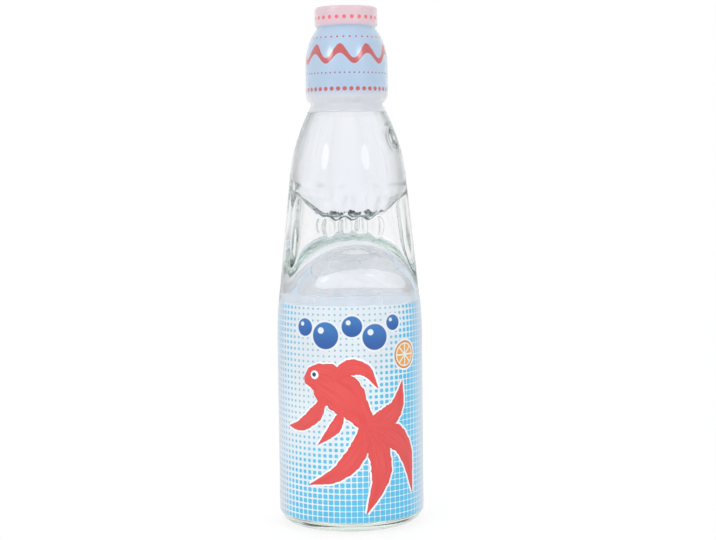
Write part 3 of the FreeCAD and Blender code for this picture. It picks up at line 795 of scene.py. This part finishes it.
# The seal's rings: up the outside and down the inside, with small pleats, a sum of sines round the neck that
# fades with height, where the film draws in under the skirt.
def sealRings():
    outside = sealSide(seal["gap"] + seal["thickness"])
    inside = sealSide(seal["gap"])[::-1]
    section = np.concatenate([outside, inside])
    angle = np.linspace(0, 2 * np.pi, seal["columns"], endpoint=False)[None]
    pleat = sum(np.sin(count * angle + start) * share for count, share, start in seal["pleats"])
    loose = np.exp(-((section[:, 1:] - seal["pleatHeight"]) / seal["pleatSpan"]) ** 2) * seal["pleatDepth"]
    return ringsOf(section[:, :1] + pleat * loose, section[:, 1], seal["columns"]), section[:, 1]


# The printed seal: a bold wave round the dome, beads above and below it, a pale hem and a pink band. Its
# inner side has a faint painted glow and painted shade along the cut edge.
def sealPrint(name, glow):
    film = seal
    material, tree, shader = newMaterial(name)
    setSockets(shader, Roughness=0.2, IOR=1.5, Specular_IOR_Level=1.0,
               Coat_Weight=1.0, Coat_Roughness=0.16, Coat_IOR=1.8,
               Subsurface_Weight=0.5, Subsurface_Scale=0.0006, Subsurface_Radius=(1, 1, 1))
    u, z = uvFields(tree)
    cloud = noiseField(tree, objectCoords(tree), film["cloud"])
    colour = overlay(tree, film["blue"], film["paleBlue"], cloud)

    # a row of round beads: the distance from the nearest of the even places round the row
    def beads(count, radius, height, size):
        a = ((u * count).calc("FRACT") - 0.5) * (2 * math.pi * radius / count)
        b = z - height
        return (a * a + b * b).calc("SQRT").below(size, film["beadSoft"])

    wave = (u * (film["waveCount"] * 2 * math.pi)).calc("SINE")
    offWave = abs(z - film["waveHeight"] - wave * film["waveSwing"])
    waveHalf = wave * film["waveSwell"] + film["waveHalf"]
    colour = overlay(tree, colour, film["red"], offWave.below(waveHalf, film["waveSoft"]))
    colour = overlay(tree, colour, film["red"], beads(*film["domeBeads"]))
    colour = overlay(tree, colour, film["plum"], beads(*film["skirtBeads"]))
    colour = overlay(tree, colour, film["hem"], z.below(film["hemTop"], film["hemSoft"]))
    colour = overlay(tree, colour, film["red"], beads(*film["hemBeads"]))
    colour = overlay(tree, colour, film["pink"], z.below(film["pinkFrom"], film["pinkEdge"]) * -1.0 + 1.0)
    colour = overlay(tree, colour, film["deepPink"], beads(*film["ringBeads"]))
    if glow:
        # painted shade along the film's cut edge, on the inner side that is seen through the glass
        paintedEdgeShade = z.below(film["end"] + film["shadeRise"], film["shadeSoft"])
        colour = overlay(tree, colour, film["shade"], paintedEdgeShade)
    tree.links.new(colour, shader.inputs["Base Color"])
    tree.links.new(colour, shader.inputs["Emission Color"])
    # a faint painted glow on the inner side only
    shader.inputs["Emission Strength"].default_value = glow
    crinkle = noiseField(tree, objectCoords(tree), film["crinkle"], stretch=film["crinkleStretch"])
    addBump(tree, shader, crinkle, *film["crinkleBump"])
    return material


sealRingPoints, sealHeights = sealRings()
sealPiece = latheMesh("cap_film", sealRingPoints, uv=sealHeights, closeRows=True)
putFilmLooks(sealPiece, len(sealHeights), seal["columns"],
             sealPrint("seal_print", 0.0), sealPrint("seal_inside", seal["glow"]))
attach(sealPiece, "bottle")
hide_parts("cap_seal")
print("cap seal:", len(sealPiece.data.polygons), "faces")


# moulded pieces under the film keep their solids and get moulded finishes

plastic = dict(cloud=220.0, cloudDetail=3.0, paler=1.06, grain=2500.0, grainBump=(0.05, 0.0002))
# each node's material, colour and roughness
mouldings = dict(
    mouth_cap=("cap_plastic", rgb(188, 212, 236), 0.32),
    plunger_ring=("ring_plastic", rgb(240, 200, 214), 0.32),
    plunger=("plunger_plastic", rgb(244, 206, 219), 0.30),
    mouth_gasket=("gasket_rubber", rgb(196, 190, 182), 0.6),
)


# Moulded plastic or rubber: a colour clouded with a paler one, and a fine grain.
def mouldedPlastic(name, colour, roughness):
    material, tree, shader = newMaterial(name)
    setSockets(shader, Roughness=roughness, IOR=1.46, Subsurface_Weight=0.1, Subsurface_Scale=0.002)
    cloud = noiseField(tree, objectCoords(tree), plastic["cloud"], plastic["cloudDetail"])
    pale = tuple(min(1.0, part * plastic["paler"]) for part in colour[:3]) + (1.0,)
    tree.links.new(overlay(tree, colour, pale, cloud), shader.inputs["Base Color"])
    addBump(tree, shader, noiseField(tree, objectCoords(tree), plastic["grain"]), *plastic["grainBump"])
    return material


for node, look in mouldings.items():
    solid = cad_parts[node]
    solid.data.materials.clear()
    solid.data.materials.append(mouldedPlastic(*look))
print("moulded pieces finished")


# stage, light and camera

# the floor, its shadow and the lights are in metres, the camera's place is in millimetres
stage = dict(
    floorSize=4.0, floorColour=rgb(250, 250, 250), worldLight=0.5,
    shadowReach=0.16, shadowSoft=0.12, shadowShare=0.14,
    azimuth=-101.0, distance=610.0, height=144.7, aside=3.6, pitch=4.126, roll=0.68,
    focal=1525.0, imageWidth=716.0, sensor=36.0,
    flagStart=0.86, flagSoft=0.12, flagEnd=0.68, flagEdge=0.08, flagDepth=0.6,
    # each light's name, place, target, width and height in metres, watts and whether reflections show it
    lights=(
        ("left_softbox", (-0.55, -0.55, 0.40), (0, 0, 0.12), 0.4, 0.7, 2.6, False),
        ("right_softbox", (0.55, -0.55, 0.40), (0, 0, 0.12), 0.4, 0.7, 2.3, False),
        ("top_softbox", (0, 0.0, 0.9), (0, 0, 0.1), 0.6, 0.6, 2.2, False),
        ("back_softbox", (0, 0.7, 0.25), (0, 0, 0.12), 0.9, 0.7, 3.0, False),
        ("left_strip", (-0.64, -0.56, 0.50), (0, 0, 0.15), 0.24, 0.26, 0.42, True),
        ("right_strip", (0.53, -0.67, 0.50), (0, 0, 0.15), 0.24, 0.26, 0.36, True),
    ),
    bounces=32,
)


# A place given as metres right of, beyond and above the foot, as the camera sees it.
def stagePlace(right, beyond, up):
    turn = math.radians(stage["azimuth"] + 90)
    x = right * math.cos(turn) - beyond * math.sin(turn)
    y = right * math.sin(turn) + beyond * math.cos(turn)
    return x, y, up


# How light the studio looks in glass along the level direction x, y: white ahead, aside and behind,
# with grey flags between, told by the share of the direction that points ahead. The small addend keeps that
# share finite straight up.
def sideTone(x, y):
    beyondX, beyondY = stagePlace(0, 1, 0)[:2]
    ahead = (x * beyondX + y * beyondY) / ((x * x + y * y).calc("SQRT") + 0.001)
    aside = abs(ahead).below(stage["flagStart"], stage["flagSoft"])
    square = abs(ahead).below(stage["flagEnd"], stage["flagEdge"])
    return (aside - square) * -stage["flagDepth"] + 1.0


# For the rays that meet the studio: whether one is seen, by the camera, in glass or as a reflection, and how
# bright the studio is to it, which is sideTone through glass and 1 elsewhere.
def studioRays(tree, x, y):
    path = tree.nodes.new("ShaderNodeLightPath")
    through = Field(tree, path.outputs["Is Transmission Ray"])
    seen = Field(tree, path.outputs["Is Camera Ray"]) + through + Field(tree, path.outputs["Is Glossy Ray"])
    return seen.calc("MINIMUM", 1.0), (sideTone(x, y) - 1.0) * through + 1.0


# The floor: near the object it shows the shadow, farther out it is as white as the background.
def buildFloor():
    half = stage["floorSize"] / 2
    mesh = bpy.data.meshes.new("floor")
    corners = [(-half, -half, 0), (half, -half, 0), (half, half, 0), (-half, half, 0)]
    mesh.from_pydata(corners, [], [(0, 1, 2, 3)])
    floor = bpy.data.objects.new("floor", mesh)
    bpy.context.scene.collection.objects.link(floor)
    material, tree, shader = newMaterial("floor_white")
    setSockets(shader, Base_Color=stage["floorColour"], Roughness=0.6)
    glow = tree.nodes.new("ShaderNodeEmission")
    mix = tree.nodes.new("ShaderNodeMixShader")
    x, y = splitFields(tree, objectCoords(tree))
    seen, bright = studioRays(tree, x, y)
    near = (x * x + y * y).calc("SQRT").below(stage["shadowReach"], stage["shadowSoft"])
    tree.links.new(bright.socket, glow.inputs["Strength"])
    tree.links.new((seen * (near * -stage["shadowShare"] + 1.0)).socket, mix.inputs["Fac"])
    tree.links.new(shader.outputs["BSDF"], mix.inputs[1])
    tree.links.new(glow.outputs["Emission"], mix.inputs[2])
    tree.links.new(mix.outputs["Shader"], tree.nodes["Material Output"].inputs["Surface"])
    floor.data.materials.append(material)


# The surroundings: white where they are seen, a softer light elsewhere.
def buildWorld():
    world = bpy.data.worlds.new("studio")
    bpy.context.scene.world = world
    world.use_nodes = True
    tree = world.node_tree
    back = tree.nodes["Background"]
    setSockets(back, Color=(1, 1, 1, 1), Strength=stage["worldLight"])
    white = tree.nodes.new("ShaderNodeBackground")
    setSockets(white, Color=(1, 1, 1, 1))
    mix = tree.nodes.new("ShaderNodeMixShader")
    direction = tree.nodes.new("ShaderNodeTexCoord").outputs["Generated"]
    seen, bright = studioRays(tree, *splitFields(tree, direction))
    tree.links.new(bright.socket, white.inputs["Strength"])
    tree.links.new(seen.socket, mix.inputs["Fac"])
    tree.links.new(back.outputs["Background"], mix.inputs[1])
    tree.links.new(white.outputs["Background"], mix.inputs[2])
    tree.links.new(mix.outputs["Shader"], tree.nodes["World Output"].inputs["Surface"])


# An area light that faces its target: turned about Z to the target's direction and tipped down to it.
def softbox(name, place, target, width, height, power, seen):
    lamp = bpy.data.lights.new(name, "AREA")
    lamp.shape = "ELLIPSE" if seen else "RECTANGLE"
    lamp.size = width
    lamp.size_y = height
    lamp.energy = power
    light = bpy.data.objects.new(name, lamp)
    light.location = stagePlace(*place)
    x, y, z = np.array(stagePlace(*target)) - np.array(stagePlace(*place))
    light.rotation_euler = (math.atan2(math.hypot(x, y), -z), 0, math.atan2(y, x) - math.pi / 2)
    light.visible_camera = False
    light.visible_transmission = False
    light.visible_glossy = seen
    bpy.context.scene.collection.objects.link(light)


# The camera: level and square to the stage, then pitched down and rolled about its own line of sight.
def buildCamera():
    lens = bpy.data.cameras.new("camera")
    lens.sensor_width = stage["sensor"]
    lens.lens = stage["focal"] / stage["imageWidth"] * stage["sensor"]
    camera = bpy.data.objects.new("camera", lens)
    camera.location = stagePlace(stage["aside"] * mm, -stage["distance"] * mm, stage["height"] * mm)
    camera.rotation_mode = "XYZ"
    tilt = math.radians(90 - stage["pitch"])
    camera.rotation_euler = (tilt, 0, math.radians(stage["azimuth"] + 90))
    camera.rotation_euler.rotate_axis("Z", math.radians(-stage["roll"]))
    bpy.context.scene.collection.objects.link(camera)
    bpy.context.scene.camera = camera


buildFloor()
buildWorld()
for light in stage["lights"]:
    softbox(*light)
buildCamera()
bpy.context.scene.view_settings.view_transform = "Standard"
# light passes many glass walls before it leaves the bottle
bpy.context.scene.cycles.max_bounces = stage["bounces"]
bpy.context.scene.cycles.transmission_bounces = stage["bounces"]
bpy.context.scene.cycles.glossy_bounces = stage["bounces"]

print("scene ready")
